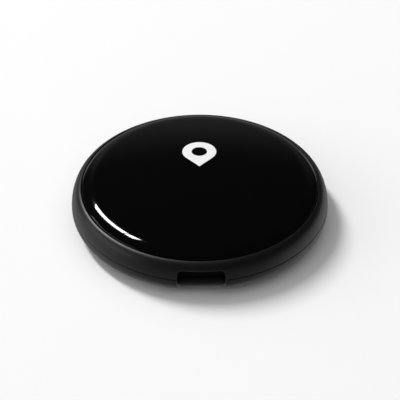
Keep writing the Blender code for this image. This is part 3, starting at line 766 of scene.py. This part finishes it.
def inner_finishes():
    """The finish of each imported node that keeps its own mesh."""
    steel = worn_metal("plated_steel", (0.62, 0.62, 0.63), 0.3, 0.2, 0.36, (1.0, 8.0, 1.0))
    gold = worn_metal("gold_plate", (0.80, 0.60, 0.28), 0.25, 0.2, 0.32)
    brass = worn_metal("rolled_brass", (0.75, 0.56, 0.26), 0.3, 0.24, 0.4, (1.0, 10.0, 1.0))
    ceramic = dull_solid("fired_ceramic", (0.80, 0.78, 0.72), 0.1, 0.4, 0.003)
    epoxy = dull_solid("moulded_epoxy", (0.02, 0.02, 0.02), 0.08, 0.5, 0.004)
    silicone = dull_solid("silicone_rubber", (0.05, 0.05, 0.055), 0.15, 0.6, 0.004)
    powder = dull_solid("pressed_powder", (0.08, 0.08, 0.08), 0.05, 0.7, 0.006)
    nylon = dull_solid("natural_nylon", (0.55, 0.55, 0.5), 0.2, 0.5, 0.003)
    lamp = dull_solid("clear_lamp", (0.85, 0.85, 0.8), 0.4, 0.25, 0.001)
    finishes = {
        "cell_can": steel,
        "cell_cap": steel,
        "cell_core": powder,
        "cell_gasket": nylon,
        "door_seal": silicone,
        "negative_contact": gold,
        "positive_contact": gold,
        "circuit_board": board_laminate(),
        "switch_body": steel,
        "switch_plunger": epoxy,
        "radio_chip": epoxy,
        "motion_sensor": epoxy,
        "coil": epoxy,
        "crystal": steel,
        "chip_antenna": ceramic,
        "indicator_light": lamp,
        "sounder_disc": brass,
        "sounder_ceramic": ceramic,
        "pusher_pad": silicone,
    }
    finishes |= {f"board_screw_{i}": steel for i in (1, 2, 3)}
    finishes |= {f"return_pad_{i}": silicone for i in (1, 2, 3)}
    finishes |= {f"sounder_spring_{i}": gold for i in (1, 2)}
    finishes |= {f"capacitor_{i}": ceramic for i in (1, 2, 3, 4)}
    return finishes


def in_pocket(x, y, z):
    """Whether a place, in millimetres, is on a wall of the strap's pocket, which gets the
    painted-shade finish.
    """
    slack = 0.02
    between = NOTCH_LIP_Y - 0.05 < y < NOTCH_BACK_Y + slack
    return between and abs(x) < NOTCH_HALF + slack and z < NOTCH_TOP + slack


def dress(piece, material, body, node, inside=None):
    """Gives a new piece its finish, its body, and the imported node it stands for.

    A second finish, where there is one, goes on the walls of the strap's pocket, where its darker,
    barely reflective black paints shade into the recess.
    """
    piece.data.materials.clear()
    piece.data.materials.append(material)
    if inside:
        piece.data.materials.append(inside)
        for face in piece.data.polygons:
            if in_pocket(*(face.center / MM)):
                face.material_index = 1
    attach(piece, body)
    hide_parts(node)


# ---- studio ---------------------------------------------------------------------------------


def toward(azimuth, elevation):
    """A direction: azimuth 0 is +Y and grows towards +X, elevation is above the floor."""
    a, e = radians(azimuth), radians(elevation)
    return Vector((sin(a) * cos(e), cos(a) * cos(e), sin(e)))


def add_camera():
    """A long lens in front of the notch, looking down at the widest line of the case."""
    azimuth, elevation, distance = -0.65, 38.31, 0.2449
    lens = bpy.data.cameras.new("camera")
    lens.lens = 148.0
    lens.sensor_width = 36.0
    lens.shift_x, lens.shift_y = 0.0006, 0.0026
    lens.clip_start, lens.clip_end = 0.01, 20.0
    camera = bpy.data.objects.new("camera", lens)
    bpy.context.scene.collection.objects.link(camera)
    back = toward(180 - azimuth, elevation)
    camera.location = Vector((0, 0, WIDEST_Z * MM)) + back * distance
    camera.rotation_euler = (-back).to_track_quat("-Z", "Y").to_euler()
    bpy.context.scene.camera = camera


def add_pane(name, start, end, width, distance, radiance):
    """One pane of a soft light, from one direction to another as the tag sees it."""
    middle = (start + end) / 2
    out = middle.normalized()
    along = end - start
    along = (along - out * along.dot(out)).normalized()
    light = bpy.data.lights.new(name, "AREA")
    light.shape = "RECTANGLE"
    light.size = width * distance
    light.size_y = (end - start).length / middle.length * distance
    light.energy = radiance * pi * light.size * light.size_y
    pane = bpy.data.objects.new(name, light)
    bpy.context.scene.collection.objects.link(pane)
    turn = Matrix((along.cross(out), along, out)).transposed().to_4x4()
    pane.matrix_world = Matrix.Translation(out * distance) @ turn
    pane.visible_camera = False


def add_fill(azimuth, elevation, angle, irradiance):
    """Broad light from above that shows no shape of its own in gloss."""
    light = bpy.data.lights.new("fill", "SUN")
    light.energy = irradiance
    light.angle = radians(angle)
    fill = bpy.data.objects.new("fill", light)
    bpy.context.scene.collection.objects.link(fill)
    fill.rotation_euler = toward(azimuth, elevation).to_track_quat("Z", "Y").to_euler()
    fill.visible_glossy = False


def add_window():
    """The key light, behind the tag on the left: a long and a short pane."""
    for name, (start, end) in WINDOW_PANES.items():
        low, high = WINDOW_LOW.lerp(WINDOW_HIGH, start), WINDOW_LOW.lerp(WINDOW_HIGH, end)
        add_pane(name, low, high, width=0.13, distance=1.5, radiance=38.0)


def add_floor():
    half = FLOOR_HALF
    mesh = bpy.data.meshes.new("floor")
    corners = [(-half, -half, 0), (half, -half, 0), (half, half, 0), (-half, half, 0)]
    mesh.from_pydata(corners, [], [(0, 1, 2, 3)])
    floor = bpy.data.objects.new("floor", mesh)
    bpy.context.scene.collection.objects.link(floor)
    finish = principled("floor_white", (FLOOR_GREY,) * 3, 0.9, Specular_IOR_Level=0.0)
    mesh.materials.append(finish)
    floor.visible_glossy = False


def add_surroundings():
    """What the gloss sees: dark walls, a soft glow on the left, and pale ground round the tag,
    with a painted shadow of the tag on the ground in front of it.
    """
    world = bpy.data.worlds.new("studio")
    bpy.context.scene.world = world
    world.use_nodes = True
    nodes, links = world.node_tree.nodes, world.node_tree.links
    backdrop = nodes["Background"]
    backdrop.inputs["Color"].default_value = (1, 1, 1, 1)
    place = nodes.new("ShaderNodeTexCoord")
    parts = nodes.new("ShaderNodeSeparateXYZ")
    links.new(place.outputs["Generated"], parts.inputs["Vector"])

    def fade(axis, full, none):
        """1 up to full, falling smoothly to 0 at none."""
        ramp = nodes.new("ShaderNodeMapRange")
        ramp.interpolation_type = "SMOOTHSTEP"
        ramp.inputs["From Min"].default_value = none
        ramp.inputs["From Max"].default_value = full
        links.new(parts.outputs[axis], ramp.inputs["Value"])
        return ramp.outputs["Result"]

    def maths(operation, first, second):
        node = nodes.new("ShaderNodeMath")
        node.operation = operation
        for socket, value in zip(node.inputs, (first, second)):
            if isinstance(value, float):
                socket.default_value = value
            else:
                links.new(value, socket)
        return node.outputs["Value"]

    # The glow hangs above the horizon on the left
    glow = maths("MULTIPLY", fade("X", 0.0, 0.68), fade("X", -0.26, -0.52))
    glow = maths("MULTIPLY", glow, fade("Z", 0.30, 0.56))
    glow = maths("MULTIPLY", glow, fade("Y", 0.3, 0.0))
    glow = maths("MULTIPLY", glow, GLOW_LEVEL)
    level = maths("ADD", glow, DARK_LEVEL)
    # The ground lies below the horizon and stands in for the floor in gloss: darker behind the
    # tag, and darker in front of it with a painted shadow of the tag
    behind = maths("MULTIPLY", fade("X", 0.28, 0.55), fade("X", -0.28, -0.55))
    behind = maths("MULTIPLY", behind, fade("Y", 0.45, 0.1))
    behind = maths("MULTIPLY", behind, GROUND_BEHIND_LOSS)
    front = maths("MULTIPLY", fade("Y", -0.6, -0.1), GROUND_FRONT_SHADOW)
    ground = maths("SUBTRACT", maths("SUBTRACT", 1.0, behind), front)
    ground = maths("MULTIPLY", ground, fade("Z", -0.06, 0.01))
    level = maths("ADD", level, maths("MULTIPLY", ground, GROUND_LEVEL))
    # The camera itself sees a plain pale backdrop
    seen = nodes.new("ShaderNodeLightPath")
    shade = nodes.new("ShaderNodeMix")
    shade.data_type = "FLOAT"
    shade.inputs["B"].default_value = BACKDROP_LEVEL
    links.new(seen.outputs["Is Camera Ray"], shade.inputs["Factor"])
    links.new(level, shade.inputs["A"])
    links.new(shade.outputs["Result"], backdrop.inputs["Strength"])


# ---- all together ---------------------------------------------------------------------------


def main():
    for node, material in inner_finishes().items():
        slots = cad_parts[node].data.materials
        slots.clear()
        slots.append(material)

    bezel_finish = satin_black("satin_black", 0.12, 0.38, 0.42)
    dress(make_cap(), gloss_black(), "cap", "top_cap")
    dress(make_mark(), printed_ink(), "cap", "printed_mark")
    # Pocket walls: an unpolished black, a little darker and far less shiny than the case; partly a
    # real unpolished finish, partly painted shade that keeps the recess dark
    rough_pocket_shade = dull_solid(
        "unpolished_shade_black", (0.005, 0.005, 0.0055), 0.15, 0.85, 0.004, Specular_IOR_Level=0.12
    )
    dress(make_bezel(), bezel_finish, "housing", "bezel_ring", rough_pocket_shade)
    dress(make_base(), bezel_finish, "housing", "lower_housing", rough_pocket_shade)
    bar_finish = satin_black("bar_black", 0.12, 0.40, 0.46, Specular_IOR_Level=0.38)
    dress(make_bar(), bar_finish, "housing", "strap_bar")
    door_finish = satin_black("matte_black", 0.2, 0.5, 0.62)
    dress(make_door(), door_finish, "door", "battery_door")

    add_camera()
    add_floor()
    add_surroundings()
    add_window()
    board_ends = (toward(-120, 14), toward(-66, 14))
    add_pane("side_board", *board_ends, width=0.5, distance=1.4, radiance=1.3)
    add_fill(azimuth=-110, elevation=66, angle=140.0, irradiance=1.56)
    bpy.context.scene.view_settings.view_transform = "Standard"


main()
